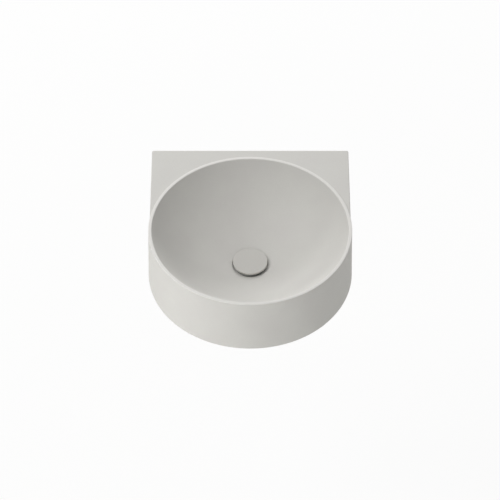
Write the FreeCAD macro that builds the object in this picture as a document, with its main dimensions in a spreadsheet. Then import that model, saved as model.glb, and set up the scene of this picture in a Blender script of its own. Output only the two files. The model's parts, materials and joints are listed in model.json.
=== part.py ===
import FreeCAD, Part
import math
import os
import Sketcher
from FreeCAD import Rotation, Vector

# A wall hung ceramic basin: a round bowl in front of a square-backed deck, open underneath,
# with a push-to-close waste whose round ceramic cap stands over the drain, and two wall bolts.
#
# The frame: +Z up, +Y into the wall. The wall is the plane y = 0 and the basin reaches towards -Y.
# The origin lies on the wall plane, midway between the two wall bolts. The bowl's axis is upright.

# Driving sizes in millimetres: alias, value, meaning.
SIZES = (
    # ceramic, outside
    ("rim_radius", 210.0, "outside radius of the round rim at its top"),
    ("rim_thickness", 6.3, "rim, from its outer to its inner edge"),
    ("rim_roundover", 1.2, "rounding of both rim edges"),
    ("rim_height", 85.0, "rim top above the line of the wall bolts"),
    ("overall_height", 132.0, "rim top to foot"),
    ("skirt_draft", 2.7, "how much wider the round skirt is at its foot"),
    ("foot_roundover", 1.5, "rounding of the foot's outer edge"),
    ("deck_behind", 20.5, "deck between the rim and the wall, on the middle line"),
    ("deck_inset", 2.3, "side of the deck inside the rim's widest point"),
    ("deck_drop", 2.3, "rim top above the deck"),
    ("deck_roundover", 1.5, "rounding of the deck's outer edges"),
    ("deck_corner", 4.0, "upright back corners"),
    ("deck_lap", 20.0, "the deck's front end, behind the bowl's axis, inside the round skirt"),
    # ceramic, inside
    ("bowl_depth", 109.0, "rim top to the bottom of the bowl's curve"),
    ("shell_wall", 9.0, "bowl shell"),
    ("side_wall", 8.0, "skirt and side walls"),
    ("back_wall", 14.0, "wall that the bolts clamp"),
    ("deck_wall", 9.0, "deck plate"),
    ("hollow_corner", 12.0, "upright corners of the hollow underneath"),
    # drain seat in the ceramic
    ("seat_gap", 1.25, "recess round the waste cap"),
    ("seat_drop", 3.9, "recess floor below the bottom of the bowl's curve"),
    ("seat_roundover", 0.8, "rounding of the recess's mouth"),
    ("drain_gap", 2.045, "drain hole round the waste's thread"),
    ("boss_margin", 12.0, "thick ring under the drain, outside the rubber washer"),
    ("boss_wall", 12.0, "recess floor to the underside of that ring"),
    # waste
    ("flange_width", 8.5, "waste flange outside the drain hole"),
    ("flange_height", 4.0, "waste flange at its edge"),
    ("flange_dish", 2.5, "fall of the flange towards the drain"),
    ("flange_edge", 1.0, "flat edge of the flange"),
    ("thread_radius", 20.955, "pipe thread, inch and a quarter, over its crests"),
    ("tube_wall", 2.455, "wall of the waste tube, crests included"),
    ("tube_length", 80.0, "flange underside to the end of the tube"),
    ("tail_length", 30.0, "free thread for the trap's nut"),
    ("relief_width", 2.0, "groove between the clamped and the free thread"),
    ("relief_depth", 0.8, "depth of that groove"),
    ("cross_drop", 19.6, "flange underside to the top of the cross that carries the cartridge"),
    ("cross_height", 8.0, "cross arms and hub"),
    ("hub_wall", 2.5, "hub and shoulder outside the barrel"),
    ("cross_arm", 4.0, "width of an arm"),
    ("gasket_height", 1.5, "soft ring under the flange"),
    ("washer_height", 6.0, "rubber washer under the ceramic"),
    ("washer_neck", 4.0, "its neck inside the drain hole"),
    ("washer_width", 9.0, "rubber washer outside the drain hole"),
    ("slip_height", 1.5, "hard washer above the back nut"),
    ("nut_height", 12.0, "back nut"),
    ("nut_wall", 5.0, "back nut, from its thread to a flat"),
    ("nut_collar", 3.0, "round collar of the back nut"),
    ("ring_clearance", 0.2, "rings round the waste tube"),
    ("thread_clearance", 0.05, "nuts on their threads"),
    # cap and plunger
    ("cap_radius", 36.0, "ceramic cap"),
    ("cap_height", 4.5, "ceramic cap"),
    ("cap_roundover", 1.0, "rounding of the cap's upper edge"),
    ("cap_lift", 4.5, "travel of the cap from open to closed"),
    ("cap_gap", 1.1, "closed cap above the edge of the waste's flange"),
    ("seal_inset", 3.3, "seal inside the flange's edge"),
    ("seal_lip", 4.0, "width of the seal's lip"),
    ("seal_grip", 4.2, "width of the web clamped under the cap"),
    ("seal_web", 1.0, "thickness of that web"),
    ("seal_reach", 0.8, "closed seal below the flange's edge"),
    ("seal_roundover", 1.0, "rounding of the lip"),
    ("carrier_gap", 0.2, "carrier inside the seal"),
    ("carrier_wall", 4.0, "hub of the carrier outside the spindle"),
    ("hub_length", 6.8, "hub below the carrier's plate"),
    ("spindle_radius", 4.0, "plunger spindle"),
    ("spindle_grip", 7.5, "spindle inside the hub and the plate"),
    ("running_gap", 0.05, "sliding and turning fits of the plunger"),
    # click cartridge
    ("barrel_bore", 7.5, "bore of the barrel"),
    ("barrel_wall", 2.0, "wall of the barrel"),
    ("shoulder_height", 3.0, "shoulder that sits on the cross"),
    ("barrel_top", 10.0, "barrel's mouth above the cross"),
    ("barrel_floor", 3.0, "closed lower end"),
    ("key_depth", 1.0, "keyways in the bore"),
    ("key_width", 2.4, "keyways in the bore"),
    ("key_gap", 0.2, "lugs in their keyways"),
    ("gland_lip", 1.5, "flange of the gland over the barrel's mouth"),
    ("gland_height", 2.0, "height of that flange"),
    ("gland_depth", 6.0, "gland inside the barrel"),
    ("stop_gap", 0.1, "open plunger below the gland"),
    ("crown_height", 5.0, "crown on the spindle"),
    ("rotor_gap", 0.3, "crown, rotor, washer and spring along the axis"),
    ("rotor_height", 5.0, "index rotor"),
    ("pin_radius", 2.5, "pin that the rotor turns on"),
    ("thrust_height", 1.0, "thrust washer"),
    ("spring_wire", 1.1, "spring wire"),
    ("spring_radius", 5.4, "spring, to the middle of its wire"),
    ("spring_length", 20.0, "spring with the cap open"),
    ("spring_turns", 7.0, "spring coils"),
    ("lock_wall", 2.5, "cartridge lock nut, from its thread to a flat"),
    ("lock_height", 4.0, "cartridge lock nut"),
    # wall fixings
    ("bolt_spacing", 280.0, "between the two wall bolts"),
    ("bolt_hole", 11.0, "radius of the holes in the ceramic"),
    ("screw_radius", 5.0, "wood-screw end, in the wall"),
    ("stud_radius", 4.8, "machine-thread end"),
    ("screw_length", 60.0, "wood-screw end, wall plane to tip"),
    ("screw_point", 9.0, "its point"),
    ("stud_reach", 40.0, "machine-thread end, from the wall plane"),
    ("bush_gap", 0.2, "bush in its hole and round its bolt"),
    ("bush_setback", 2.0, "bush short of the wall plane"),
    ("bush_flange", 17.0, "bush flange"),
    ("bush_height", 4.0, "bush flange"),
    ("plate_inset", 3.0, "steel washer inside the bush's flange"),
    ("plate_height", 2.0, "steel washer"),
    ("hex_flats", 17.0, "hexagon nut across flats"),
    ("hex_height", 8.0, "hexagon nut"),
)

KEY_COUNT = 4
CROSS_ARMS = 3
NUT_BEVEL = 30  # degrees, the turned corners of a hexagon nut
TOOL_MARGIN = 5.0  # how far a cutting shape runs past what it cuts
OVERLAP = 1.0  # how far the features of one casting run into each other
NEARLY = 0.01  # two places this near are the same, where edges are picked

# Radii and distances that follow from the sheet.
SETBACK = "(Sizes.rim_radius + Sizes.deck_behind)"
HALF_DECK = "(Sizes.rim_radius - Sizes.deck_inset)"
DRAIN = "(Sizes.thread_radius + Sizes.drain_gap)"
FLANGE_RADIUS = f"({DRAIN} + Sizes.flange_width)"
SEAT_RADIUS = "(Sizes.cap_radius + Sizes.seat_gap)"
WASHER_RADIUS = f"({DRAIN} + Sizes.washer_width)"
BOSS_RADIUS = f"({WASHER_RADIUS} + Sizes.boss_margin)"
TUBE_BORE = "(Sizes.thread_radius - Sizes.tube_wall)"
NUT_FLATS = "(2 * (Sizes.thread_radius + Sizes.nut_wall))"
SEAL_OUTER = f"({FLANGE_RADIUS} - Sizes.seal_inset)"
SEAL_SHOULDER = f"({SEAL_OUTER} - Sizes.seal_lip)"
SEAL_INNER = f"({SEAL_SHOULDER} - Sizes.seal_grip)"
CARRIER_HUB = "(Sizes.spindle_radius + Sizes.carrier_wall)"
BARREL_RADIUS = "(Sizes.barrel_bore + Sizes.barrel_wall)"
SHOULDER_RADIUS = f"({BARREL_RADIUS} + Sizes.hub_wall)"
KEY_RADIUS = "(Sizes.barrel_bore + Sizes.key_depth)"
LOCK_FLATS = f"(2 * ({BARREL_RADIUS} + Sizes.lock_wall))"
PLATE_RADIUS = "(Sizes.bush_flange - Sizes.plate_inset)"
RIM_INNER = "(Sizes.rim_radius - Sizes.rim_thickness)"
RIM_MIDDLE = "(Sizes.rim_radius - Sizes.rim_thickness / 2)"
FOOT_RADIUS = "(Sizes.rim_radius + Sizes.skirt_draft)"
HOLLOW_RADIUS = "(Sizes.rim_radius - Sizes.side_wall)"
SPHERE = f"(({RIM_INNER}^2 + Sizes.bowl_depth^2) / (2 * Sizes.bowl_depth))"
SHELL = f"({SPHERE} + Sizes.shell_wall)"
TUBE_FIT = "(Sizes.thread_radius + Sizes.ring_clearance)"
NUT_BORE = "(Sizes.thread_radius + Sizes.thread_clearance)"
CARRIER = f"({SEAL_SHOULDER} - Sizes.carrier_gap)"
GUIDE = "(Sizes.spindle_radius + Sizes.running_gap)"
SLIDER = "(Sizes.barrel_bore - Sizes.running_gap)"
BARREL_FIT = f"({BARREL_RADIUS} + Sizes.thread_clearance)"
GLAND_RADIUS = "(Sizes.barrel_bore + Sizes.gland_lip)"

# Levels along the bowl's axis, above the origin, as expressions on the sheet.
RIM = "Sizes.rim_height"
FOOT = "(Sizes.rim_height - Sizes.overall_height)"
DECK = "(Sizes.rim_height - Sizes.deck_drop)"
DECK_UNDERSIDE = f"({DECK} - Sizes.deck_wall)"
BOWL = "(Sizes.rim_height - Sizes.bowl_depth)"


def arc_depth(radius, at):
    """Expression for the level where an arc about the bowl's own centre passes a distance from the axis."""
    return f"({BOWL} + {SPHERE} - sqrt({radius}^2 - ({at})^2))"


SEAT = f"({BOWL} - Sizes.seat_drop)"
BOSS = f"({SEAT} - Sizes.boss_wall)"
FLANGE = f"({SEAT} + Sizes.gasket_height)"
FLANGE_TOP = f"({FLANGE} + Sizes.flange_height)"
TUBE_END = f"({FLANGE} - Sizes.tube_length)"
RELIEF = f"({TUBE_END} + Sizes.tail_length)"
RELIEF_TOP = f"({RELIEF} + Sizes.relief_width)"
WASHER = f"({BOSS} - Sizes.washer_height)"
SLIP = f"({WASHER} - Sizes.slip_height)"
BACK_NUT = f"({SLIP} - Sizes.nut_height)"
CLOSED_CAP = f"({FLANGE_TOP} + Sizes.cap_gap)"
CAP = f"({CLOSED_CAP} + Sizes.cap_lift)"
CAP_TOP = f"({CAP} + Sizes.cap_height)"
WEB = f"({CAP} - Sizes.seal_web)"
SEAL = f"({FLANGE_TOP} + Sizes.cap_lift - Sizes.seal_reach)"
HUB = f"({SEAL} - Sizes.hub_length)"
SPINDLE_TOP = f"({HUB} + Sizes.spindle_grip)"
CROSS = f"({FLANGE} - Sizes.cross_drop)"
CROSS_BOTTOM = f"({CROSS} - Sizes.cross_height)"
BARREL = f"({CROSS} + Sizes.barrel_top)"
GLAND_BOTTOM = f"({BARREL} - Sizes.gland_depth)"
GLAND_TOP = f"({BARREL} + Sizes.gland_height)"
CROWN = f"({GLAND_BOTTOM} - Sizes.stop_gap)"
CROWN_BOTTOM = f"({CROWN} - Sizes.crown_height)"
ROTOR = f"({CROWN_BOTTOM} - Sizes.rotor_gap)"
ROTOR_BOTTOM = f"({ROTOR} - Sizes.rotor_height)"
THRUST = f"({ROTOR_BOTTOM} - Sizes.rotor_gap)"
THRUST_BOTTOM = f"({THRUST} - Sizes.thrust_height)"
SPRING = f"({THRUST_BOTTOM} - Sizes.rotor_gap)"
SPRING_BOTTOM = f"({SPRING} - Sizes.spring_length)"
BARREL_FLOOR = f"({SPRING_BOTTOM} - Sizes.rotor_gap)"
BARREL_END = f"({BARREL_FLOOR} - Sizes.barrel_floor)"
LOCK_BOTTOM = f"({CROSS_BOTTOM} - Sizes.lock_height)"

# Distances from the wall plane for the wall fixings, negative towards the room.
BUSH_SEAT = "(-Sizes.back_wall)"
BUSH_END = f"({BUSH_SEAT} - Sizes.bush_height)"
PLATE_END = f"({BUSH_END} - Sizes.plate_height)"
HEX_END = f"({PLATE_END} - Sizes.hex_height)"

doc = FreeCAD.newDocument("basin")
sheet = doc.addObject("Spreadsheet::Sheet", "Sizes")
for row, (alias, value, meaning) in enumerate(SIZES, start=1):
    sheet.set(f"A{row}", alias)
    sheet.set(f"B{row}", str(value))
    sheet.setAlias(f"B{row}", alias)
    sheet.set(f"C{row}", meaning)
doc.recompute()


def new_body(label):
    """A body whose own origin lies on the bowl's axis."""
    body = doc.addObject("PartDesign::Body", label)
    body.Label = label
    body.setExpression("Placement.Base.y", f"-{SETBACK}")
    return body


def sketch(body, name, plane, points):
    """A closed outline on one of the body's origin planes, bound point by point to the sheet.

    A point is (across, along) as expressions. A third entry is the radius of an arc to the next
    point, and it is negative where the arc runs clockwise.
    """
    outline = body.newObject("Sketcher::SketchObject", name)
    support = next(item for item in body.Origin.OriginFeatures if item.Role == plane)
    outline.AttachmentSupport = [(support, "")]
    outline.MapMode = "FlatFace"
    value = outline.evalExpression
    places = [Vector(value(point[0]), value(point[1]), 0) for point in points]
    ends = []
    for index, point in enumerate(points):
        start = places[index]
        stop = places[(index + 1) % len(points)]
        if len(point) == 2:
            outline.addGeometry(Part.LineSegment(start, stop), False)
            ends.append((1, 2))
            continue
        bend = value(point[2])
        clockwise = bend < 0
        chord = stop - start
        rise = math.sqrt(max(bend * bend - chord.Length ** 2 / 4, 0))
        left = Vector(-chord.y, chord.x, 0).normalize()
        centre = (start + stop) * 0.5 + left * (-rise if clockwise else rise)
        first, last = (stop, start) if clockwise else (start, stop)
        angles = [math.atan2(place.y - centre.y, place.x - centre.x) for place in (first, last)]
        circle = Part.Circle(centre, Vector(0, 0, 1), abs(bend))
        outline.addGeometry(Part.ArcOfCircle(circle, angles[0], angles[1]), False)
        ends.append((2, 1) if clockwise else (1, 2))
    for index, point in enumerate(points):
        following = (index + 1) % len(points)
        begin = ends[index][0]
        outline.addConstraint(
            Sketcher.Constraint("Coincident", index, ends[index][1], following, ends[following][0])
        )
        if point[0] == "0":
            outline.addConstraint(Sketcher.Constraint("PointOnObject", index, begin, -2))
        else:
            bind(outline, "DistanceX", (-1, 1, index, begin), point[0])
        if point[1] == "0":
            outline.addConstraint(Sketcher.Constraint("PointOnObject", index, begin, -1))
        else:
            bind(outline, "DistanceY", (-1, 1, index, begin), point[1])
        if len(point) == 3:
            bind(outline, "Radius", (index,), f"abs({point[2]})")
    return outline


def bind(outline, kind, geometry, expression):
    """One dimension of a sketch, bound to the sheet."""
    size = outline.evalExpression(expression)
    number = outline.addConstraint(Sketcher.Constraint(kind, *geometry, size))
    outline.setExpression(f"Constraints[{number}]", expression)


def revolve(body, name, points, kind="PartDesign::Revolution"):
    """A full turn of an outline of (radius, height) points about the body's upright axis."""
    outline = sketch(body, f"{name}_section", "XZ_Plane", points)
    feature = body.newObject(kind, name)
    feature.Profile = outline
    feature.ReferenceAxis = (outline, ["V_Axis"])
    feature.Angle = 360
    doc.recompute()
    return feature


def turned(label, points):
    """A sub-part that is one turned piece on the bowl's axis."""
    body = new_body(label)
    revolve(body, f"{label}_turning", points)
    return body


def pad(body, name, points, level, length):
    """An upright pad of a plan outline, from a level upwards."""
    outline = sketch(body, f"{name}_plan", "XY_Plane", points)
    outline.setExpression("AttachmentOffset.Base.z", level)
    feature = body.newObject("PartDesign::Pad", name)
    feature.Profile = outline
    feature.setExpression("Length", length)
    doc.recompute()
    return feature


def around(body, feature, count):
    """The same feature at equal steps about the bowl's axis."""
    pattern = body.newObject("PartDesign::PolarPattern", f"{feature.Name}_ring")
    axis = next(item for item in body.Origin.OriginFeatures if item.Role == "Z_Axis")
    pattern.Originals = [feature]
    pattern.Axis = (axis, [""])
    pattern.Angle = 360
    pattern.Occurrences = count
    body.Tip = pattern
    doc.recompute()
    return pattern


def edges(shape, wanted):
    """The names of the edges that a test picks."""
    return [f"Edge{index}" for index, edge in enumerate(shape.Edges, start=1) if wanted(edge)]


def ring_at(radius, level):
    """A test for a full circle of a radius at a level."""

    def wanted(edge):
        curve = edge.Curve
        if not isinstance(curve, Part.Circle) or abs(curve.Radius - radius) > NEARLY:
            return False
        return abs(curve.Center.z - level) < NEARLY

    return wanted


def round_ring(body, name, base, radius, level, size, kind="PartDesign::Fillet"):
    """A fillet or chamfer on one ring of a turned piece; its size is bound to the sheet."""
    value = sheet.evalExpression
    names = edges(base.Shape, ring_at(value(radius), value(level)))
    feature = body.newObject(kind, name)
    feature.Base = (base, names)
    prop = "Radius" if kind == "PartDesign::Fillet" else "Size"
    feature.setExpression(prop, size)
    doc.recompute()
    return feature


def hexagon(flats):
    """The six corners of a hexagon of a width across flats, which faces flats to both sides."""
    corners = []
    for step in range(6):
        angle = 60 * step + 30
        corners.append(
            (f"{flats} / sqrt(3) * cos({angle} deg)", f"{flats} / sqrt(3) * sin({angle} deg)")
        )
    return corners


def hex_nut(label, flats, bore, bottom, height):
    """A hexagon nut on the body's upright axis, its corners turned off."""
    body = new_body(label)
    pad(body, f"{label}_hexagon", hexagon(flats), bottom, height)
    top = f"({bottom} + {height})"
    outside = f"({flats} / sqrt(3) + {TOOL_MARGIN})"
    fall = f"(({outside} - {flats} / 2) * tan({NUT_BEVEL} deg))"
    for name, end, inner_end in (
        ("lower", bottom, f"{bottom} + {fall}"),
        ("upper", top, f"{top} - {fall}"),
    ):
        bevel = [(f"{flats} / 2", end), (outside, end), (outside, inner_end)]
        revolve(body, f"{label}_{name}_bevel", bevel, "PartDesign::Groove")
    below = f"{bottom} - {TOOL_MARGIN}"
    above = f"{top} + {TOOL_MARGIN}"
    hole = [("0", below), (bore, below), (bore, above), ("0", above)]
    revolve(body, f"{label}_bore", hole, "PartDesign::Groove")
    return body


def ceramic_round():
    """The round bowl as one solid from skirt to bowl surface, before it is hollowed underneath."""
    body = new_body("bowl_round")
    recess_mouth = arc_depth(SPHERE, SEAT_RADIUS)
    turning = revolve(
        body,
        "bowl_turning",
        [
            (DRAIN, BOSS),
            (BOSS_RADIUS, BOSS),
            (BOSS_RADIUS, FOOT),
            (FOOT_RADIUS, FOOT),
            ("Sizes.rim_radius", RIM),
            (RIM_INNER, RIM, f"-{SPHERE}"),
            (SEAT_RADIUS, recess_mouth),
            (SEAT_RADIUS, SEAT),
            (DRAIN, SEAT),
        ],
    )
    last = turning
    rings = (
        ("rim_outer_round", "Sizes.rim_radius", RIM, "Sizes.rim_roundover"),
        ("rim_inner_round", RIM_INNER, RIM, "Sizes.rim_roundover"),
        ("foot_round", FOOT_RADIUS, FOOT, "Sizes.foot_roundover"),
        ("seat_mouth_round", SEAT_RADIUS, recess_mouth, "Sizes.seat_roundover"),
    )
    for name, radius, level, size in rings:
        last = round_ring(body, name, last, radius, level, size)
    return body


def ceramic_deck():
    """The square back: a block behind the bowl with rounded outer edges."""
    body = new_body("deck_block")
    inner = f"sqrt({RIM_MIDDLE}^2 - Sizes.deck_lap^2)"
    corner_line = f"({SETBACK} - Sizes.deck_corner)"
    block = pad(
        body,
        "deck_pad",
        [
            (HALF_DECK, "Sizes.deck_lap"),
            (HALF_DECK, corner_line, "Sizes.deck_corner"),
            (f"({HALF_DECK} - Sizes.deck_corner)", SETBACK),
            (f"-({HALF_DECK} - Sizes.deck_corner)", SETBACK, "Sizes.deck_corner"),
            (f"-{HALF_DECK}", corner_line),
            (f"-{HALF_DECK}", "Sizes.deck_lap"),
            (f"-{inner}", "Sizes.deck_lap", f"-{RIM_MIDDLE}"),
            (inner, "Sizes.deck_lap"),
        ],
        FOOT,
        "Sizes.overall_height - Sizes.deck_drop",
    )
    front = sheet.evalExpression("Sizes.deck_lap") + NEARLY
    middle = sheet.evalExpression(RIM_MIDDLE)

    def outer_edge(edge):
        box = edge.BoundBox
        if box.ZLength > NEARLY or box.YMax < front:
            return False
        return not (isinstance(edge.Curve, Part.Circle) and abs(edge.Curve.Radius - middle) < NEARLY)

    rounding = body.newObject("PartDesign::Fillet", "deck_edge_round")
    rounding.Base = (block, edges(block.Shape, outer_edge))
    rounding.setExpression("Radius", "min(Sizes.deck_roundover; Sizes.deck_corner - 0.5)")
    doc.recompute()
    return body


def ceramic_hollow():
    """The space underneath: inside the skirt and under the bowl shell."""
    body = new_body("under_hollow")
    half = f"({HALF_DECK} - Sizes.side_wall)"
    waist = f"sqrt({HOLLOW_RADIUS}^2 - {half}^2)"
    back = f"({SETBACK} - Sizes.back_wall)"
    corner_line = f"({back} - Sizes.hollow_corner)"
    corner_across = f"({half} - Sizes.hollow_corner)"
    pad(
        body,
        "hollow_pad",
        [
            (half, waist),
            (half, corner_line, "Sizes.hollow_corner"),
            (corner_across, back),
            (f"-{corner_across}", back, "Sizes.hollow_corner"),
            (f"-{half}", corner_line),
            (f"-{half}", waist, HOLLOW_RADIUS),
            ("0", f"-{HOLLOW_RADIUS}", HOLLOW_RADIUS),
        ],
        f"{FOOT} - {TOOL_MARGIN}",
        f"{DECK_UNDERSIDE} - {FOOT} + {TOOL_MARGIN}",
    )
    over = f"({DECK_UNDERSIDE} + {TOOL_MARGIN})"
    shell_edge = f"({HOLLOW_RADIUS} + {TOOL_MARGIN})"
    revolve(
        body,
        "shell_groove",
        [
            ("0", over),
            ("0", BOSS),
            (BOSS_RADIUS, BOSS),
            (BOSS_RADIUS, arc_depth(SHELL, BOSS_RADIUS), SHELL),
            (shell_edge, arc_depth(SHELL, shell_edge)),
            (shell_edge, over),
        ],
        "PartDesign::Groove",
    )
    return body


def on_wall(thing):
    """Turn a piece from upright to level, its axis along +Y, on the right-hand bolt."""
    thing.Placement.Rotation = Rotation(Vector(1, 0, 0), -90)
    thing.setExpression("Placement.Base.x", "Sizes.bolt_spacing / 2")
    thing.setExpression("Placement.Base.y", "0")


def mirrored(thing, name):
    """The left-hand twin of a piece on the right-hand bolt."""
    twin = doc.addObject("Part::Mirroring", name)
    twin.Source = thing
    twin.Base = Vector(0, 0, 0)
    twin.Normal = Vector(1, 0, 0)
    return twin


def pair(thing, label):
    """One sub-part that holds both twins."""
    both = doc.addObject("Part::Compound", label)
    both.Label = label
    both.Links = [thing, mirrored(thing, f"{label}_left")]
    return both


def basin_body():
    """The ceramic piece."""
    outside = doc.addObject("Part::Fuse", "ceramic_outside")
    outside.Base = ceramic_round()
    outside.Tool = ceramic_deck()
    hole = doc.addObject("Part::Cylinder", "bolt_hole")
    hole.setExpression("Radius", "Sizes.bolt_hole")
    hole.setExpression("Height", f"Sizes.back_wall + 2 * {TOOL_MARGIN}")
    hole.Placement.Rotation = Rotation(Vector(1, 0, 0), -90)
    hole.setExpression("Placement.Base.x", "Sizes.bolt_spacing / 2")
    hole.setExpression("Placement.Base.y", f"-Sizes.back_wall - {TOOL_MARGIN}")
    removed = doc.addObject("Part::MultiFuse", "ceramic_removed")
    removed.Shapes = [ceramic_hollow(), hole, mirrored(hole, "bolt_hole_left")]
    ceramic = doc.addObject("Part::Cut", "basin_body")
    ceramic.Label = "basin_body"
    ceramic.Base = outside
    ceramic.Tool = removed
    return ceramic


def waste_body():
    """Flange, threaded tube and the cross that carries the click cartridge, one casting."""
    body = new_body("waste_body")
    dish_edge = f"({FLANGE_RADIUS} - Sizes.flange_edge)"
    lip = f"({FLANGE_TOP} - Sizes.flange_dish)"
    relief = "(Sizes.thread_radius - Sizes.relief_depth)"
    revolve(
        body,
        "waste_turning",
        [
            (TUBE_BORE, TUBE_END),
            ("Sizes.thread_radius", TUBE_END),
            ("Sizes.thread_radius", RELIEF),
            (relief, RELIEF),
            (relief, RELIEF_TOP),
            ("Sizes.thread_radius", RELIEF_TOP),
            ("Sizes.thread_radius", FLANGE),
            (FLANGE_RADIUS, FLANGE),
            (FLANGE_RADIUS, FLANGE_TOP),
            (dish_edge, FLANGE_TOP),
            ("Sizes.thread_radius", lip, "Sizes.tube_wall"),
            (TUBE_BORE, f"{lip} - Sizes.tube_wall"),
        ],
    )
    arm = pad(
        body,
        "cross_arm",
        [
            (f"{SHOULDER_RADIUS} - {OVERLAP}", "-Sizes.cross_arm / 2"),
            (f"{TUBE_BORE} + {OVERLAP}", "-Sizes.cross_arm / 2"),
            (f"{TUBE_BORE} + {OVERLAP}", "Sizes.cross_arm / 2"),
            (f"{SHOULDER_RADIUS} - {OVERLAP}", "Sizes.cross_arm / 2"),
        ],
        CROSS_BOTTOM,
        "Sizes.cross_height",
    )
    around(body, arm, CROSS_ARMS)
    revolve(
        body,
        "cross_hub",
        [
            (BARREL_FIT, CROSS_BOTTOM),
            (SHOULDER_RADIUS, CROSS_BOTTOM),
            (SHOULDER_RADIUS, CROSS),
            (BARREL_FIT, CROSS),
        ],
    )
    return body


def clamp_rings():
    """The soft and hard rings that clamp the waste in the ceramic, and the nut below them."""
    neck_radius = f"({DRAIN} - Sizes.ring_clearance)"
    neck = f"({BOSS} + Sizes.washer_neck)"
    gasket = turned(
        "flange_gasket",
        [
            (TUBE_FIT, SEAT),
            (f"{FLANGE_RADIUS} - Sizes.flange_edge", SEAT),
            (f"{FLANGE_RADIUS} - Sizes.flange_edge", FLANGE),
            (TUBE_FIT, FLANGE),
        ],
    )
    washer = turned(
        "bottom_washer",
        [
            (TUBE_FIT, WASHER),
            (WASHER_RADIUS, WASHER),
            (WASHER_RADIUS, BOSS),
            (neck_radius, BOSS),
            (neck_radius, neck),
            (TUBE_FIT, neck),
        ],
    )
    slip = turned(
        "slip_washer",
        [
            (TUBE_FIT, SLIP),
            (f"{WASHER_RADIUS} - Sizes.flange_edge", SLIP),
            (f"{WASHER_RADIUS} - Sizes.flange_edge", WASHER),
            (TUBE_FIT, WASHER),
        ],
    )
    nut = hex_nut("back_nut", NUT_FLATS, NUT_BORE, BACK_NUT, "Sizes.nut_height")
    collar = revolve(
        nut,
        "nut_collar",
        [
            (NUT_BORE, f"{SLIP} - Sizes.nut_collar"),
            (WASHER_RADIUS, f"{SLIP} - Sizes.nut_collar"),
            (WASHER_RADIUS, SLIP),
            (NUT_BORE, SLIP),
        ],
    )
    nut.Tip = collar
    return [gasket, washer, slip, nut]


def plunger():
    """Cap, carrier, seal and spindle: what is pushed to close the drain."""
    cap = new_body("waste_cap")
    disc = revolve(
        cap,
        "cap_turning",
        [("0", CAP), ("Sizes.cap_radius", CAP), ("Sizes.cap_radius", CAP_TOP), ("0", CAP_TOP)],
    )
    upper = round_ring(
        cap, "cap_upper_round", disc, "Sizes.cap_radius", CAP_TOP, "Sizes.cap_roundover"
    )
    round_ring(cap, "cap_lower_round", upper, "Sizes.cap_radius", CAP, "Sizes.cap_roundover / 2")
    carrier = turned(
        "cap_carrier",
        [
            ("Sizes.spindle_radius", HUB),
            (CARRIER_HUB, HUB),
            (CARRIER_HUB, SEAL),
            (CARRIER, SEAL),
            (CARRIER, WEB),
            (f"{SEAL_INNER} - Sizes.carrier_gap", WEB),
            (f"{SEAL_INNER} - Sizes.carrier_gap", CAP),
            ("0", CAP),
            ("0", SPINDLE_TOP),
            ("Sizes.spindle_radius", SPINDLE_TOP),
        ],
    )
    seal = new_body("cap_seal")
    ring = revolve(
        seal,
        "seal_turning",
        [
            (SEAL_INNER, WEB),
            (SEAL_SHOULDER, WEB),
            (SEAL_SHOULDER, SEAL),
            (SEAL_OUTER, SEAL),
            (SEAL_OUTER, CAP),
            (SEAL_INNER, CAP),
        ],
    )
    round_ring(seal, "seal_lip_round", ring, SEAL_OUTER, SEAL, "Sizes.seal_roundover")
    spindle = turned(
        "plunger_spindle",
        [
            ("0", THRUST_BOTTOM),
            ("Sizes.pin_radius", THRUST_BOTTOM),
            ("Sizes.pin_radius", CROWN_BOTTOM),
            ("Sizes.spindle_radius", CROWN_BOTTOM),
            ("Sizes.spindle_radius", SPINDLE_TOP),
            ("0", SPINDLE_TOP),
        ],
    )
    return [cap, carrier, seal, spindle]


def keyed_ring(label, inner, bottom, top):
    """A ring that slides in the barrel, with lugs in its keyways."""
    body = new_body(label)
    revolve(body, f"{label}_ring", [(inner, bottom), (SLIDER, bottom), (SLIDER, top), (inner, top)])
    reach = f"({KEY_RADIUS} - Sizes.key_gap)"
    across = "(Sizes.key_width / 2 - Sizes.key_gap)"
    lug = pad(
        body,
        f"{label}_lug",
        [
            (f"({SLIDER} - {OVERLAP})", f"-{across}"),
            (reach, f"-{across}"),
            (reach, across),
            (f"({SLIDER} - {OVERLAP})", across),
        ],
        bottom,
        f"{top} - {bottom}",
    )
    around(body, lug, KEY_COUNT)
    return body


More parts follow.
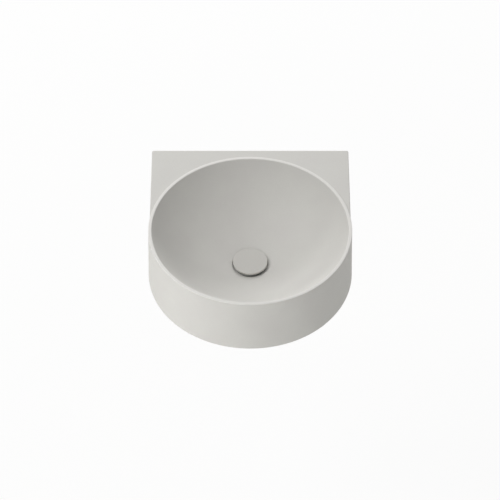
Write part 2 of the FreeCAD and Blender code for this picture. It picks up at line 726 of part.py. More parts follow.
def cartridge():
    """The click mechanism: barrel, gland, crown, rotor, thrust washer, spring and lock nut."""
    barrel = new_body("cartridge_barrel")
    revolve(
        barrel,
        "barrel_turning",
        [
            ("0", BARREL_END),
            (BARREL_RADIUS, BARREL_END),
            (BARREL_RADIUS, CROSS),
            (SHOULDER_RADIUS, CROSS),
            (SHOULDER_RADIUS, f"{CROSS} + Sizes.shoulder_height"),
            (BARREL_RADIUS, f"{CROSS} + Sizes.shoulder_height"),
            (BARREL_RADIUS, BARREL),
            ("Sizes.barrel_bore", BARREL),
            ("Sizes.barrel_bore", BARREL_FLOOR),
            ("0", BARREL_FLOOR),
        ],
    )
    keyway = sketch(
        barrel,
        "keyway_plan",
        "XY_Plane",
        [
            (f"Sizes.barrel_bore - {OVERLAP}", "-Sizes.key_width / 2"),
            (KEY_RADIUS, "-Sizes.key_width / 2"),
            (KEY_RADIUS, "Sizes.key_width / 2"),
            (f"Sizes.barrel_bore - {OVERLAP}", "Sizes.key_width / 2"),
        ],
    )
    keyway.setExpression("AttachmentOffset.Base.z", GLAND_BOTTOM)
    slot = barrel.newObject("PartDesign::Pocket", "keyway")
    slot.Profile = keyway
    slot.setExpression("Length", f"{GLAND_BOTTOM} - {ROTOR_BOTTOM} + Sizes.cap_lift")
    doc.recompute()
    around(barrel, slot, KEY_COUNT)
    gland = turned(
        "cartridge_gland",
        [
            (GUIDE, GLAND_BOTTOM),
            (SLIDER, GLAND_BOTTOM),
            (SLIDER, BARREL),
            (GLAND_RADIUS, BARREL),
            (GLAND_RADIUS, GLAND_TOP),
            (GUIDE, GLAND_TOP),
        ],
    )
    crown = keyed_ring("index_crown", "Sizes.spindle_radius", CROWN_BOTTOM, CROWN)
    pin_fit = "(Sizes.pin_radius + Sizes.running_gap)"
    rotor = turned(
        "index_rotor",
        [(pin_fit, ROTOR_BOTTOM), (SLIDER, ROTOR_BOTTOM), (SLIDER, ROTOR), (pin_fit, ROTOR)],
    )
    thrust = turned(
        "thrust_washer",
        [(pin_fit, THRUST_BOTTOM), (SLIDER, THRUST_BOTTOM), (SLIDER, THRUST), (pin_fit, THRUST)],
    )
    lock = hex_nut("lock_nut", LOCK_FLATS, BARREL_FIT, LOCK_BOTTOM, "Sizes.lock_height")
    return [barrel, gland, crown, rotor, thrust, lock, return_spring()]


def return_spring():
    """A round-wire compression spring about the bowl's axis."""
    helix = doc.addObject("Part::Helix", "spring_line")
    helix.setExpression("Radius", "Sizes.spring_radius")
    helix.setExpression("Height", "Sizes.spring_length - Sizes.spring_wire")
    helix.setExpression("Pitch", "(Sizes.spring_length - Sizes.spring_wire) / Sizes.spring_turns")
    wire = doc.addObject("Part::Circle", "spring_section")
    wire.setExpression("Radius", "Sizes.spring_wire / 2")
    wire.Placement.Rotation = Rotation(Vector(1, 0, 0), 90)
    wire.setExpression("Placement.Base.x", "Sizes.spring_radius")
    coil = doc.addObject("Part::Sweep", "return_spring")
    coil.Label = "return_spring"
    coil.Sections = [wire]
    coil.Spine = (helix, [])
    coil.Solid = True
    coil.Frenet = True
    doc.recompute()
    coil.setExpression("Placement.Base.y", f"-{SETBACK}")
    coil.setExpression("Placement.Base.z", f"{SPRING_BOTTOM} + Sizes.spring_wire / 2")
    return coil


def wall_fixings():
    """Two hanger bolts, each with a bush, a steel washer and a nut."""
    bolt = turned(
        "wall_bolt",
        [
            ("0", "-Sizes.stud_reach"),
            ("Sizes.stud_radius", "-Sizes.stud_reach"),
            ("Sizes.stud_radius", "0"),
            ("Sizes.screw_radius", "0"),
            ("Sizes.screw_radius", "Sizes.screw_length - Sizes.screw_point"),
            ("0", "Sizes.screw_length"),
        ],
    )
    bush_bore = "(Sizes.stud_radius + Sizes.bush_gap)"
    shank = "(Sizes.bolt_hole - Sizes.bush_gap)"
    bush = turned(
        "bolt_bush",
        [
            (bush_bore, BUSH_END),
            ("Sizes.bush_flange", BUSH_END),
            ("Sizes.bush_flange", BUSH_SEAT),
            (shank, BUSH_SEAT),
            (shank, "-Sizes.bush_setback"),
            (bush_bore, "-Sizes.bush_setback"),
        ],
    )
    plate = turned(
        "bolt_plate",
        [
            (bush_bore, PLATE_END),
            (PLATE_RADIUS, PLATE_END),
            (PLATE_RADIUS, BUSH_END),
            (bush_bore, BUSH_END),
        ],
    )
    stud_fit = "(Sizes.stud_radius + Sizes.thread_clearance)"
    nut = hex_nut("bolt_nut", "Sizes.hex_flats", stud_fit, HEX_END, "Sizes.hex_height")
    groups = []
    for piece, label in (
        (bolt, "wall_bolts"),
        (bush, "bolt_bushes"),
        (plate, "bolt_washers"),
        (nut, "bolt_nuts"),
    ):
        on_wall(piece)
        groups.append(pair(piece, label))
    return groups


subparts = [basin_body(), waste_body()]
subparts += clamp_rings()
subparts += plunger()
subparts += cartridge()
subparts += wall_fixings()
doc.recompute()

failed = [item.Name for item in doc.Objects if {"Invalid", "Error"} & set(item.State)]
for item in subparts:
    if item.Shape.isNull() or not item.Shape.isValid() or not item.Shape.Solids:
        failed.append(item.Label)
if failed:
    raise RuntimeError("failed to build: " + ", ".join(failed))

os.makedirs("parts", exist_ok=True)
for item in subparts:
    item.Shape.exportStep(f"parts/{item.Label}.step")
    print(f"{item.Label}: {len(item.Shape.Solids)} solid(s), {item.Shape.Volume / 1000:.2f} cm3")
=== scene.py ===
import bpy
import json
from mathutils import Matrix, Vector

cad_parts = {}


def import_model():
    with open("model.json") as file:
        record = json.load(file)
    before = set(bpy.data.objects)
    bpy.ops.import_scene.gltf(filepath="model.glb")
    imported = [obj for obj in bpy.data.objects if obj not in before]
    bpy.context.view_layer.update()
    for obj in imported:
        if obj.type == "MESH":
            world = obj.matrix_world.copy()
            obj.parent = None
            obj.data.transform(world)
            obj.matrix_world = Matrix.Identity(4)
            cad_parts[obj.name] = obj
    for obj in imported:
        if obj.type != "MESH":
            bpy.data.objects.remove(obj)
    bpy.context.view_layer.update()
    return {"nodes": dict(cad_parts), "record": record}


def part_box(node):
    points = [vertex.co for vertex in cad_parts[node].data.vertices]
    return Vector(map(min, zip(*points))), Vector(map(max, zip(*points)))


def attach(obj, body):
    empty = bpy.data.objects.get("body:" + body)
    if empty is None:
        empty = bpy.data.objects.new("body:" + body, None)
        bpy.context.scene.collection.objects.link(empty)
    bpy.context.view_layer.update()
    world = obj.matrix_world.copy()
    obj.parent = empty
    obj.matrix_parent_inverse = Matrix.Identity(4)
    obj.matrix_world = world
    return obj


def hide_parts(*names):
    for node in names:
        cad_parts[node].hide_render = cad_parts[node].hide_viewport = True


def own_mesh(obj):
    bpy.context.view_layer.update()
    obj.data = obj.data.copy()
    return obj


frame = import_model()

import json
import math

import bmesh
import bpy
from mathutils import Matrix, Vector

nodes = frame["nodes"]
mounts = {mount["name"]: mount for mount in frame["record"]["mounts"]}
MM = 0.001
TURN = 2 * math.pi
# the bowl, its waste and its plunger share one upright axis
BOWL_AXIS = Vector((0.0, mounts["waste_thread"]["pos_m"][1], 0.0))


# ---------------------------------------------------------------- colours and nodes
def linear(code):
    """An sRGB hex colour as the linear colour that a shader takes."""
    channels = [int(code[place:place + 2], 16) / 255 for place in (1, 3, 5)]
    return [c / 12.92 if c <= 0.04045 else ((c + 0.055) / 1.055) ** 2.4 for c in channels] + [1.0]


def add(tree, kind, links=None, **settings):
    """Adds a node. links gives each input, by name or number, a value or another node's output."""
    node = tree.nodes.new(kind)
    for name, value in settings.items():
        setattr(node, name, value)
    for name, value in (links or {}).items():
        socket = node.inputs[name]
        if isinstance(value, bpy.types.NodeSocket):
            tree.links.new(value, socket)
        else:
            socket.default_value = value
    return node


def new_material(name, **shader):
    """A material with an empty Principled shader, its constants set on the shader's own sockets."""
    material = bpy.data.materials.new(name)
    material.use_nodes = True
    tree = material.node_tree
    tree.nodes.clear()
    surface = add(tree, "ShaderNodeBsdfPrincipled", shader)
    add(tree, "ShaderNodeOutputMaterial", {"Surface": surface.outputs["BSDF"]})
    place = add(tree, "ShaderNodeTexCoord").outputs["Object"]
    return material, tree, surface, place


def noise(tree, place, size_mm, detail=2.0, roughness=0.5):
    """Soft noise whose grains are about size_mm across."""
    links = {
        "Vector": place, "Scale": 1 / (size_mm * MM), "Detail": detail, "Roughness": roughness,
    }
    return add(tree, "ShaderNodeTexNoise", links).outputs["Fac"]


def ramp(tree, value, low, high, from_value=0.0, to_value=1.0):
    """value from low to high, mapped to another range and held at its ends."""
    links = {0: value, 1: low, 2: high, 3: from_value, 4: to_value}
    return add(tree, "ShaderNodeMapRange", links).outputs[0]


def blend(tree, share, first, second):
    """A colour between two, by share."""
    links = {0: share, 6: first, 7: second}
    return add(tree, "ShaderNodeMix", links, data_type="RGBA").outputs[2]


def bump(tree, height, depth_mm, before=None):
    """A bump from a height of 0 to 1 that stands for depth_mm."""
    links = {"Height": height, "Distance": depth_mm * MM, "Strength": 1.0}
    if before is not None:
        links["Normal"] = before
    return add(tree, "ShaderNodeBump", links).outputs["Normal"]


# ---------------------------------------------------------------- materials
NOISE_BULK = (0.3, 0.7)  # most of a noise's values lie between these
# where the colour changes, in metres in the frame: where each change starts and where it is whole;
# the rim's band is where the painted highlight lies
RIM_HIGHLIGHT_BAND = (0.0834, 0.0846)
BACK_BAND = (-0.0014, -0.0009)
FOOT_BAND = (-0.0460, -0.0464)
# painted highlight: a paler colour painted on the rim's top
RIM_PAINTED_HIGHLIGHT = "#E7E5E1"
BISCUIT_DARK, BISCUIT_PALE = "#DDD7CB", "#E8E3D8"
GLAZE_ROUGHNESS = (0.56, 0.64)
BISCUIT_ROUGHNESS = 0.9
WAVE_METRES = 0.314  # a wave texture repeats every WAVE_METRES / scale metres
GROOVE_DEPTH_MM = 0.004
TARNISH_DULLING = 0.14


def matt_glaze(name, thick, even, fleck_tone):
    """Fireclay under a matt warm light-grey glaze, sprayed and fired: an even, soft sheen with a
    faint orange peel, a tone that drifts a little where the spray is thicker, and bare biscuit on
    the foot and the back."""
    material, tree, surface, place = new_material(name, IOR=1.5)
    drift = noise(tree, place, 90, detail=3)
    fleck = noise(tree, place, 2.2, detail=2)
    glaze = blend(tree, ramp(tree, drift, 0.35, 0.65), linear(thick), linear(even))
    flecks = ramp(tree, fleck, *NOISE_BULK, 0.0, 0.25)
    glaze = blend(tree, flecks, glaze, linear(fleck_tone))
    axes = add(tree, "ShaderNodeSeparateXYZ", {"Vector": place})
    # the rim's top is painted paler: a painted highlight along the rim
    rim_highlight = ramp(tree, axes.outputs["Z"], *RIM_HIGHLIGHT_BAND)
    glaze = blend(tree, rim_highlight, glaze, linear(RIM_PAINTED_HIGHLIGHT))
    at_back = ramp(tree, axes.outputs["Y"], *BACK_BAND)
    at_foot = ramp(tree, axes.outputs["Z"], *FOOT_BAND)
    bare = add(tree, "ShaderNodeMath", {0: at_back, 1: at_foot}, operation="MAXIMUM").outputs[0]
    grit = noise(tree, place, 0.8, detail=3)
    biscuit = blend(tree, grit, linear(BISCUIT_DARK), linear(BISCUIT_PALE))
    tree.links.new(blend(tree, bare, glaze, biscuit), surface.inputs["Base Color"])
    sheen = ramp(tree, drift, *NOISE_BULK, *GLAZE_ROUGHNESS)
    rough = add(tree, "ShaderNodeMix", {0: bare, 2: sheen, 3: BISCUIT_ROUGHNESS}).outputs[0]
    tree.links.new(rough, surface.inputs["Roughness"])
    peel = bump(tree, noise(tree, place, 3.5, detail=1), 0.010)
    tree.links.new(bump(tree, grit, 0.02, peel), surface.inputs["Normal"])
    return material


def turned_metal(name, bright, dull, shine, centre, groove_mm=0.3):
    """Metal off a lathe: fine tool rings on its faces and round its barrels, a little tarnish."""
    material, tree, surface, place = new_material(name, Metallic=1.0)
    axis = add(tree, "ShaderNodeMapping", {"Vector": place, "Location": centre}).outputs[0]
    tarnish = noise(tree, place, 6, detail=4, roughness=0.6)
    shade = blend(tree, ramp(tree, tarnish, 0.35, 0.7), linear(bright), linear(dull))
    tree.links.new(shade, surface.inputs["Base Color"])
    gloss = ramp(tree, tarnish, *NOISE_BULK, shine, shine + TARNISH_DULLING)
    tree.links.new(gloss, surface.inputs["Roughness"])
    scale = WAVE_METRES / (groove_mm * MM)
    links = {"Vector": axis, "Scale": scale, "Distortion": 0.4, "Detail": 1.0}
    rings = add(tree, "ShaderNodeTexWave", links, wave_type="RINGS", rings_direction="Z")
    bands = add(tree, "ShaderNodeTexWave", links, wave_type="BANDS", bands_direction="Z")
    grooves = bump(tree, rings.outputs["Fac"], GROOVE_DEPTH_MM)
    grooves = bump(tree, bands.outputs["Fac"], GROOVE_DEPTH_MM, grooves)
    tree.links.new(grooves, surface.inputs["Normal"])
    return material


def zinc_plate():
    """Steel bolts, washers and nuts under bright zinc: bluish silver with a faint straw bloom."""
    material, tree, surface, place = new_material("bright_zinc_on_steel", Metallic=1.0)
    bloom = noise(tree, place, 4, detail=3)
    grain = noise(tree, place, 0.5, detail=3, roughness=0.6)
    shade = blend(tree, ramp(tree, bloom, *NOISE_BULK), linear("#B9BEC4"), linear("#C6C3B4"))
    shade = blend(tree, ramp(tree, grain, 0.45, 0.75, 0.0, 0.3), shade, linear("#8F9498"))
    tree.links.new(shade, surface.inputs["Base Color"])
    tree.links.new(ramp(tree, grain, *NOISE_BULK, 0.26, 0.42), surface.inputs["Roughness"])
    tree.links.new(bump(tree, grain, 0.006), surface.inputs["Normal"])
    return material


def moulded(name, light, dark, least_rough, most_rough, grain_mm, depth_mm, ior):
    """A moulded rubber or plastic: the tool's fine spark grain and a slow drift of tone."""
    material, tree, surface, place = new_material(name, IOR=ior)
    drift = noise(tree, place, 9, detail=2)
    grain = noise(tree, place, grain_mm, detail=2, roughness=0.6)
    shade = blend(tree, ramp(tree, drift, *NOISE_BULK), linear(light), linear(dark))
    tree.links.new(shade, surface.inputs["Base Color"])
    roughness = ramp(tree, grain, *NOISE_BULK, least_rough, most_rough)
    tree.links.new(roughness, surface.inputs["Roughness"])
    tree.links.new(bump(tree, grain, depth_mm), surface.inputs["Normal"])
    return material


on_axis = -BOWL_AXIS
basin_glaze = matt_glaze("basin_fired_matt_glaze", "#D2D0CC", "#D6D5D0", "#CAC8C2")
# the cap's glaze is a shade darker than the basin's
cap_glaze = matt_glaze("cap_fired_matt_glaze", "#CAC8C3", "#CDCCC7", "#C1BFB9")
brass = turned_metal("turned_brass", "#DDBE77", "#B8935A", 0.20, on_axis)
chrome = turned_metal("chromed_brass", "#D5D7D8", "#C3C6C8", 0.08, on_axis, groove_mm=0.5)
spring_wire = turned_metal("drawn_stainless_wire", "#C2C1BD", "#9E9D99", 0.24, on_axis, 0.2)
washer_steel = turned_metal("stamped_stainless", "#C6C6C3", "#A9A9A6", 0.26, on_axis, 0.2)
zinc = zinc_plate()
rubber = moulded("moulded_black_rubber", "#262624", "#1C1C1B", 0.62, 0.80, 0.6, 0.012, 1.52)
nylon = moulded("moulded_nylon", "#EAE6D8", "#E2DDCC", 0.42, 0.55, 0.5, 0.005, 1.53)
polythene = moulded("moulded_polythene", "#E4E5E2", "#D9DAD7", 0.38, 0.50, 0.5, 0.005, 1.51)
acetal = moulded("moulded_acetal", "#ECEBE4", "#E3E2DA", 0.34, 0.46, 0.4, 0.004, 1.48)


def wear(material, *names):
    """Gives the CAD nodes that show their finish; every other node has a piece in its place."""
    for name in names:
        if not nodes[name].material_slots:
            nodes[name].data.materials.append(material)
        for slot in nodes[name].material_slots:
            slot.material = material


wear(basin_glaze, "basin_body")
wear(cap_glaze, "waste_cap")
wear(acetal, "index_crown", "index_rotor")
wear(washer_steel, "thrust_washer")

# ---------------------------------------------------------------- shapes
SIDES = 96  # faces round a turned shape
WELD_MM = 0.002
CREASE_DEGREES = 32
NUT_CHAMFER_DEGREES = 30
NUT_FACE_SHARE = 0.985  # a nut's face ends just inside its flats


def joined(shapes):
    """Several shapes as one, their doubles merged and their faces outwards."""
    whole = bmesh.new()
    for shape in shapes:
        bmesh.ops.remove_doubles(shape, verts=shape.verts, dist=WELD_MM * MM)
        bmesh.ops.recalc_face_normals(shape, faces=shape.faces)
        part = bpy.data.meshes.new("part")
        shape.to_mesh(part)
        shape.free()
        whole.from_mesh(part)
        bpy.data.meshes.remove(part)
    return whole


def piece(name, shapes, material, body, slot, *stands_for):
    """Makes shapes one object that rides on a body and stands for CAD nodes."""
    whole = joined(shapes)
    mesh = bpy.data.meshes.new(name)
    whole.to_mesh(mesh)
    whole.free()
    mesh.polygons.foreach_set("use_smooth", [True] * len(mesh.polygons))
    mesh.set_sharp_from_angle(angle=math.radians(CREASE_DEGREES))
    mesh.materials.append(material)
    thing = bpy.data.objects.new(name, mesh)
    bpy.context.collection.objects.link(thing)
    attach(thing, body)
    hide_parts(*stands_for)
    return thing


def turned(outline, rounding=0.3, steps=SIDES, closed=True):
    """A turned shape about the upright axis from its outline of (radius, level) in mm, with its
    corners rounded. An open outline starts and ends on the axis."""
    shape = bmesh.new()
    corners = [shape.verts.new((radius * MM, 0, level * MM)) for radius, level in outline]
    for first, second in zip(corners, corners[1:] + corners[:1] * closed):
        shape.edges.new((first, second))
    if rounding:
        round_these = [
            corner for corner in corners if corner.co.x > 0 and len(corner.link_edges) == 2
        ]
        bmesh.ops.bevel(
            shape, geom=round_these, offset=rounding * MM, affect="VERTICES",
            segments=3, profile=0.5, material=-1, clamp_overlap=True,
        )
    bmesh.ops.spin(
        shape, geom=shape.verts[:] + shape.edges[:], axis=(0, 0, 1), cent=(0, 0, 0),
        angle=TURN, steps=steps, use_merge=True,
    )
    return shape


def ring(bore, radius, low, high, rounding=0.3):
    """A plain turned ring."""
    return turned([(bore, low), (radius, low), (radius, high), (bore, high)], rounding)


def thread(root, crest, pitch, low, high, steps=48, land=0.12, slope=1.0):
    """A helical ridge from its root to its crest, right-handed, between two levels in mm. A crest
    nearer the axis than the root makes a nut's thread. Both ends run out in a chamfer."""
    shape = bmesh.new()
    deep = root - 0.1 * (crest - root)
    foot, top = 0.42 * pitch, 0.5 * land * pitch
    start = low + foot
    corners = [(deep, -foot), (crest, -top), (crest, top), (deep, foot)]
    section = [
        shape.verts.new((radius * MM, 0, (start + level) * MM)) for radius, level in corners
    ]
    face = shape.faces.new(section)
    turns = (high - low - 2 * foot) / pitch
    bmesh.ops.spin(
        shape, geom=[face] + face.edges[:] + section, axis=(0, 0, 1), cent=(0, 0, 0),
        dvec=(0, 0, pitch * MM / steps), angle=TURN * round(turns * steps) / steps,
        steps=round(turns * steps),
    )
    way = 1 if crest > root else -1
    for vert in shape.verts:
        radius = math.hypot(vert.co.x, vert.co.y) / MM
        level = vert.co.z / MM
        allowed = root + way * min(level - low, high - level) * slope
        if (radius - allowed) * way > 0:
            scale = max(allowed * way, (root - 0.05 * way) * way) * way / radius
            vert.co.x *= scale
            vert.co.y *= scale
    return shape


def hexagon(flats, bore, low, high, mouth):
    """A hexagon nut as it is made: turned with its corners bevelled, then milled to its flats."""
    outer = flats / math.sqrt(3)
    face = flats / 2 * NUT_FACE_SHARE
    fall_rate = math.tan(math.radians(NUT_CHAMFER_DEGREES))
    fall = (outer - face) * fall_rate
    shape = turned(
        [
            (bore, low + mouth), (bore + mouth, low), (face, low), (outer, low + fall),
            (outer, high - fall), (face, high), (bore + mouth, high), (bore, high - mouth),
        ],
        rounding=0,
    )
    middle = (low + high) / 2
    for vert in shape.verts:
        radius = math.hypot(vert.co.x, vert.co.y) / MM
        if radius < face + 0.01:
            continue
        angle = math.atan2(vert.co.y, vert.co.x)
        sixth = (angle + TURN / 12) % (TURN / 6) - TURN / 12
        flat = flats / 2 / math.cos(sixth)
        vert.co.x *= flat / radius
        vert.co.y *= flat / radius
        up = 1 if vert.co.z / MM > middle else -1
        end = high if up > 0 else low
        vert.co.z = (end - up * (flat - face) * fall_rate) * MM
    return shape


def on_bowl(*shapes):
    """Shapes moved to the bowl's axis."""
    for shape in shapes:
        bmesh.ops.translate(shape, vec=BOWL_AXIS, verts=shape.verts)
    return shapes


def on_bolts(*makers):
    """Shapes made twice, laid along +Y and set on both bolts. Each maker gives a new shape."""
    lying = Matrix.Rotation(-TURN / 4, 3, "X")
    placed = []
    for side in (-1, 1):
        for maker in makers:
            shape = maker()
            bmesh.ops.rotate(shape, cent=(0, 0, 0), matrix=lying, verts=shape.verts)
            bmesh.ops.translate(shape, vec=(side * BOLT_SPACING / 2 * MM, 0, 0), verts=shape.verts)
            placed.append(shape)
    return placed


# ---------------------------------------------------------------- sizes from the frame, in mm
def reach(name):
    """A node's outside radius about the bowl's axis, its bottom and its top."""
    low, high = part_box(name)
    return (high[0] - low[0]) / 2 / MM, low[2] / MM, high[2] / MM


BOLT_SPACING = 280.0
PIPE_PITCH = 2.309  # eleven threads to the inch
PIPE_CREST = 20.955
PIPE_ROOT = PIPE_CREST - 1.479
PIPE_BORE = 18.5
PIPE_SHANK = 20.9  # the plain part above the thread
RING_BORE = 21.155  # clears the pipe's thread
BARREL_RADIUS = 9.5
BARREL_ROOT = 8.9
HUB_BORE = 9.55
HUB_RADIUS = 12.0
CROSS_DEPTH = 8.0
ARM_SIZE = (8.0, 4.0, CROSS_DEPTH)
ARM_REACH = 15.1
GLAND_BORE = 4.05

flange_radius, tube_end, flange_top = reach("waste_body")
gasket_radius, seat, flange_foot = reach("flange_gasket")
washer_radius, washer_foot, neck_top = reach("bottom_washer")
slip_radius, slip_foot, _ = reach("slip_washer")
_, nut_foot, nut_top = reach("back_nut")
_, lock_foot, lock_top = reach("lock_nut")
_, barrel_end, barrel_top = reach("cartridge_barrel")
_, gland_foot, gland_top = reach("cartridge_gland")
carrier_radius, hub_foot, cap_foot = reach("cap_carrier")
seal_radius, seal_foot, _ = reach("cap_seal")
_, pin_foot, spindle_top = reach("plunger_spindle")
_, crown_foot, _ = reach("index_crown")
cross_foot = lock_top
cross_top = cross_foot + CROSS_DEPTH
boss = neck_top - 4.0


# ---------------------------------------------------------------- waste
def waste():
    """Dished flange, threaded tube and the cross inside it."""
    tube = turned(
        [
            (PIPE_BORE, tube_end), (PIPE_ROOT - 0.1, tube_end), (PIPE_ROOT, tube_end + 0.4),
            (PIPE_ROOT, flange_foot - 10), (PIPE_SHANK, flange_foot - 9),
            (PIPE_SHANK, flange_foot),
            (flange_radius, flange_foot), (flange_radius, flange_top),
            (flange_radius - 1.0, flange_top), (26.0, flange_top - 1.35),
            (20.955, flange_top - 2.5), (19.2, flange_top - 3.4),
            (PIPE_BORE, flange_top - 4.955),
        ],
        rounding=0.35,
    )
    tail = thread(PIPE_ROOT, PIPE_CREST, PIPE_PITCH, tube_end + 0.3, tube_end + 30)
    clamp = thread(PIPE_ROOT, PIPE_CREST, PIPE_PITCH, tube_end + 32, flange_foot - 10)
    hub = ring(HUB_BORE, HUB_RADIUS, cross_foot, cross_top)
    arms = []
    for arm in range(3):
        bar = bmesh.new()
        bmesh.ops.create_cube(bar, size=1.0)
        bmesh.ops.scale(bar, vec=[size * MM for size in ARM_SIZE], verts=bar.verts)
        bmesh.ops.bevel(
            bar, geom=bar.edges[:], offset=0.5 * MM, affect="EDGES", segments=2, profile=0.5,
            material=-1,
        )
        place = (ARM_REACH * MM, 0, (cross_foot + cross_top) / 2 * MM)
        bmesh.ops.translate(bar, vec=place, verts=bar.verts)
        turn = Matrix.Rotation(arm * TURN / 3, 3, "Z")
        bmesh.ops.rotate(bar, cent=(0, 0, 0), matrix=turn, verts=bar.verts)
        arms.append(bar)
    return on_bowl(tube, tail, clamp, hub, *arms)


def back_nut():
    """A collared hexagon nut with its own thread."""
    hexed = hexagon(51.91, 21.0, nut_foot, nut_top - 2.9, mouth=1.2)
    collar = ring(21.1, washer_radius, nut_top - 3, nut_top, rounding=0.5)
    inside = thread(21.0, 19.8, PIPE_PITCH, nut_foot + 1.2 + PIPE_PITCH * 0.3, nut_top - 0.4)
    return on_bowl(hexed, collar, inside)


piece("waste_casting", waste(), chrome, "basin", "chromed_brass", "waste_body")
piece("waste_back_nut", back_nut(), brass, "basin", "brass", "back_nut")
piece(
    "flange_soft_ring",
    on_bowl(ring(RING_BORE, gasket_radius, seat, flange_foot)),
    rubber, "basin", "rubber", "flange_gasket",
)
piece(
    "necked_rubber_washer",
    on_bowl(turned(
        [
            (RING_BORE, washer_foot), (washer_radius, washer_foot), (washer_radius, boss),
            (22.8, boss), (22.8, neck_top - 0.8), (22.2, neck_top), (RING_BORE, neck_top),
        ],
        rounding=0.7,
    )),
    rubber, "basin", "rubber", "bottom_washer",
)
piece(
    "hard_slip_washer",
    on_bowl(ring(RING_BORE, slip_radius, slip_foot, washer_foot)),
    polythene, "basin", "slip_plastic", "slip_washer",
)
piece(
    "cartridge_lock_nut",
    on_bowl(hexagon(24.0, HUB_BORE, lock_foot, lock_top, mouth=0.5)),
    brass, "basin", "brass", "lock_nut",
)


def barrel():
    """The cartridge's barrel, threaded where the lock nut grips it, with a turned groove above."""
    body = turned(
        [
            (0, barrel_end), (9.0, barrel_end), (BARREL_RADIUS, barrel_end + 0.6),
            (BARREL_RADIUS, barrel_end + 5), (BARREL_ROOT, barrel_end + 5.6),
            (BARREL_ROOT, cross_foot - 0.2), (BARREL_RADIUS, cross_foot + 0.4),
            (BARREL_RADIUS, cross_top), (HUB_RADIUS, cross_top), (HUB_RADIUS, cross_top + 3),
            (BARREL_RADIUS, cross_top + 3), (BARREL_RADIUS, barrel_top), (7.5, barrel_top),
            (7.5, barrel_end + 3), (0, barrel_end + 3),
        ],
        closed=False,
    )
    grip = thread(
        BARREL_ROOT, BARREL_RADIUS, 1.0, barrel_end + 5.4, cross_foot + 0.2, steps=36,
    )
    return on_bowl(body, grip)


piece("click_barrel", barrel(), brass, "basin", "brass", "cartridge_barrel")
piece(
    "click_gland",
    on_bowl(turned(
        [
            (GLAND_BORE, gland_foot), (7.45, gland_foot), (7.45, barrel_top), (9.0, barrel_top),
            (9.0, gland_top - 0.5), (8.5, gland_top), (4.6, gland_top),
            (GLAND_BORE, gland_top - 0.5),
        ],
        rounding=0.2,
    )),
    brass, "basin", "brass", "cartridge_gland",
)

# ---------------------------------------------------------------- plunger
piece(
    "cap_brass_carrier",
    on_bowl(turned(
        [
            (0, spindle_top), (4.0, spindle_top), (4.0, hub_foot), (8.0, hub_foot),
            (8.0, seal_foot), (carrier_radius, seal_foot), (carrier_radius, cap_foot - 1.0),
            (19.8, cap_foot - 1.0), (19.8, cap_foot), (0, cap_foot),
        ],
        closed=False,
    )),
    brass, "plunger", "brass", "cap_carrier",
)
piece(
    "cap_rubber_seal",
    on_bowl(turned(
        [
            (20.0, cap_foot - 1.0), (24.2, cap_foot - 1.0), (24.2, seal_foot + 0.2),
            (25.0, seal_foot), (26.6, seal_foot), (seal_radius, seal_foot + 0.9),
            (seal_radius, cap_foot), (20.0, cap_foot),
        ],
        rounding=0.35,
    )),
    rubber, "plunger", "rubber", "cap_seal",
)
piece(
    "brass_spindle",
    on_bowl(turned(
        [
            (0, pin_foot), (2.2, pin_foot), (2.5, pin_foot + 0.4), (2.5, crown_foot),
            (4.0, crown_foot), (4.0, spindle_top - 0.4), (3.6, spindle_top), (0, spindle_top),
        ],
        rounding=0.15, closed=False, steps=64,
    )),
    brass, "plunger", "brass", "plunger_spindle",
)


def coil():
    """The return spring's wire, copied from its CAD node into a mesh of its own."""
    wire = bmesh.new()
    wire.from_mesh(nodes["return_spring"].data)
    thing = piece("coil_spring", [wire], spring_wire, "basin", "spring_steel", "return_spring")
    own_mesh(thing)


coil()

# ---------------------------------------------------------------- wall fixings
# levels along a bolt are in mm from the basin's back, and negative towards its front
STUD_ROOT, STUD_CREST, STUD_PITCH = 4.05, 4.8, 1.5
SCREW_CORE, SCREW_CREST, SCREW_PITCH = 3.5, 5.0, 4.0
STUD_END, NUT_OUTER, NUT_SEAT, PLATE_SEAT, SCREW_POINT = -40, -28, -20, -18, 60
NUT_BORE, NUT_CREST = 4.85, 4.15


def stud():
    """A hanger bolt's core, from the end that takes the nut to the screw's point."""
    return turned(
        [
            (0, STUD_END), (3.6, STUD_END), (STUD_ROOT, -39.4), (STUD_ROOT, -2.5), (4.75, -1.5),
            (4.75, 1.5), (SCREW_CORE, 3.0), (SCREW_CORE, 51), (1.6, 56.5), (0, SCREW_POINT),
        ],
        rounding=0.15, closed=False, steps=64,
    )


def stud_thread():
    return thread(STUD_ROOT, STUD_CREST, STUD_PITCH, -39.7, -2.2, steps=36)


def wood_thread():
    """The coarse thread of the wood-screw end, which follows the core down to the point."""
    shape = thread(
        SCREW_CORE, SCREW_CREST, SCREW_PITCH, 2.6, 57.0, steps=36, land=0.04, slope=0.5,
    )
    for vert in shape.verts:
        level = vert.co.z / MM
        share = min(1.0, (SCREW_POINT - level) / 9.0)
        vert.co.x *= share
        vert.co.y *= share
    return shape


def nut():
    return hexagon(17.0, NUT_BORE, NUT_OUTER, NUT_SEAT, mouth=0.7)


def nut_thread():
    return thread(NUT_BORE, NUT_CREST, STUD_PITCH, -27.4, -20.6, steps=36)


def plate():
    """A stamped washer, rounded on the side that the punch met."""
    return turned(
        [
            (5.2, NUT_SEAT), (13.6, NUT_SEAT), (14.0, -19.6), (14.0, PLATE_SEAT),
            (5.0, PLATE_SEAT), (5.0, -19.8),
        ],
        rounding=0.25,
    )


def bush():
    """A nylon bush: a flange with a softened edge, and a shank."""
    return turned(
        [
            (5.0, PLATE_SEAT), (16.4, PLATE_SEAT), (17.0, -17.2), (17.0, -14), (10.8, -14),
            (10.8, -2.8), (10.2, -2), (5.0, -2),
        ],
        rounding=0.4,
    )


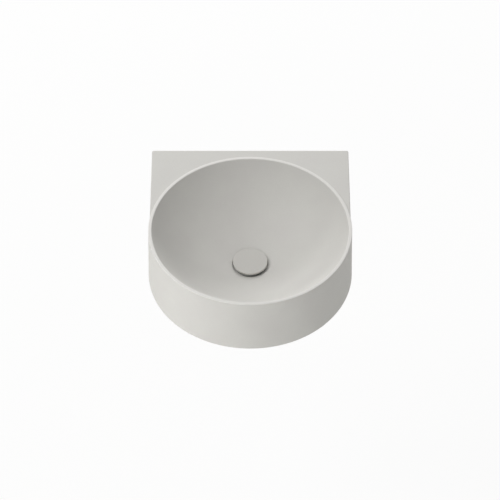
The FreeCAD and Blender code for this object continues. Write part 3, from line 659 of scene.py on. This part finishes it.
piece(
    "hanger_bolts", on_bolts(stud, stud_thread, wood_thread),
    zinc, "basin", "zinc_steel", "wall_bolts",
)
piece("bolt_hexagons", on_bolts(nut, nut_thread), zinc, "basin", "zinc_steel", "bolt_nuts")
piece("bolt_plates", on_bolts(plate), zinc, "basin", "zinc_steel", "bolt_washers")
piece("bolt_nylon_bushes", on_bolts(bush), nylon, "basin", "bush_plastic", "bolt_bushes")

# ---------------------------------------------------------------- floor, light and camera
FLOOR_LEVEL = -0.765  # the rim stands 850 mm above the floor
FLOOR_HALF_WIDTH = 30.0
FLOOR_GLOW = 0.92  # how much of what the camera sees of the floor is plain white
EVEN_LIGHT = 0.3
LENS_MM, SENSOR_MM, FAR_METRES = 198.0, 36.0, 100.0
CAMERA_PLACE = Vector((-0.0004, -4.1255, 4.1947))
CAMERA_AIM = Vector((-0.0004, -0.2899, 0.0847))
WHITE = (1, 1, 1, 1)


def floor():
    """A pale studio floor. The camera sees it nearly white, with a little of its own shading, and
    from below it is clear."""
    shape = bmesh.new()
    bmesh.ops.create_grid(shape, x_segments=1, y_segments=1, size=FLOOR_HALF_WIDTH)
    bmesh.ops.translate(shape, vec=(0, 0, FLOOR_LEVEL), verts=shape.verts)
    mesh = bpy.data.meshes.new("studio_floor")
    shape.to_mesh(mesh)
    shape.free()
    thing = bpy.data.objects.new("studio_floor", mesh)
    bpy.context.collection.objects.link(thing)
    material = bpy.data.materials.new("painted_floor")
    material.use_nodes = True
    tree = material.node_tree
    tree.nodes.clear()
    paint = add(tree, "ShaderNodeBsdfDiffuse", {"Color": linear("#F0F0EE")}).outputs[0]
    glow = add(tree, "ShaderNodeEmission", {"Color": WHITE, "Strength": 1.0}).outputs[0]
    path = add(tree, "ShaderNodeLightPath").outputs["Is Camera Ray"]
    share = add(tree, "ShaderNodeMath", {0: path, 1: FLOOR_GLOW}, operation="MULTIPLY").outputs[0]
    lit = add(tree, "ShaderNodeMixShader", {0: share, 1: paint, 2: glow}).outputs[0]
    clear = add(tree, "ShaderNodeBsdfTransparent").outputs[0]
    back = add(tree, "ShaderNodeNewGeometry").outputs["Backfacing"]
    both = add(tree, "ShaderNodeMixShader", {0: back, 1: lit, 2: clear}).outputs[0]
    add(tree, "ShaderNodeOutputMaterial", {"Surface": both})
    mesh.materials.append(material)


def world(level):
    """White where the camera, a gloss or glass looks at it; elsewhere an even light."""
    sky = bpy.data.worlds.new("studio")
    bpy.context.scene.world = sky
    sky.use_nodes = True
    tree = sky.node_tree
    tree.nodes.clear()
    path = add(tree, "ShaderNodeLightPath").outputs
    seen = path["Is Camera Ray"]
    for ray in ("Is Glossy Ray", "Is Transmission Ray"):
        seen = add(tree, "ShaderNodeMath", {0: seen, 1: path[ray]}, operation="MAXIMUM").outputs[0]
    even = add(tree, "ShaderNodeBackground", {"Color": WHITE, "Strength": level}).outputs[0]
    white = add(tree, "ShaderNodeBackground", {"Color": WHITE, "Strength": 1.0}).outputs[0]
    both = add(tree, "ShaderNodeMixShader", {0: seen, 1: even, 2: white}).outputs[0]
    add(tree, "ShaderNodeOutputWorld", {"Surface": both})


def lamp(name, place, watts, width, height=None):
    """A soft box that faces the bowl."""
    light = bpy.data.lights.new(name, "AREA")
    light.shape = "RECTANGLE"
    light.size = width
    light.size_y = height or width
    light.energy = watts
    thing = bpy.data.objects.new(name, light)
    bpy.context.collection.objects.link(thing)
    thing.location = place
    thing.rotation_euler = (BOWL_AXIS - Vector(place)).to_track_quat("-Z", "Y").to_euler()


def camera():
    """The photograph's view: from straight in front, 47 degrees above the rim."""
    lens = bpy.data.cameras.new("camera")
    lens.lens = LENS_MM
    lens.sensor_width = SENSOR_MM
    lens.clip_end = FAR_METRES
    thing = bpy.data.objects.new("camera", lens)
    bpy.context.collection.objects.link(thing)
    thing.location = CAMERA_PLACE
    way = CAMERA_AIM - CAMERA_PLACE
    thing.rotation_euler = way.to_track_quat("-Z", "Y").to_euler()
    bpy.context.scene.camera = thing


floor()
world(EVEN_LIGHT)
lamp("overhead_left", (-2.77, -0.23, 3.59), 70, 2.0)
lamp("front", (0.0, -4.20, 2.15), 27, 2.0)
lamp("behind_high", (0.0, 3.22, 2.93), 37, 2.0)
lamp("behind_middle", (-1.05, 3.88, 1.51), 35, 0.6)
lamp("behind_low", (0.0, 4.23, 0.67), 30, 1.0, 0.5)
lamp("low_left", (-3.15, -3.38, -0.45), 68, 2.0, 0.6)
lamp("low_right", (4.46, -0.23, -0.45), 18, 2.0, 0.6)
camera()
bpy.context.scene.view_settings.view_transform = "Standard"
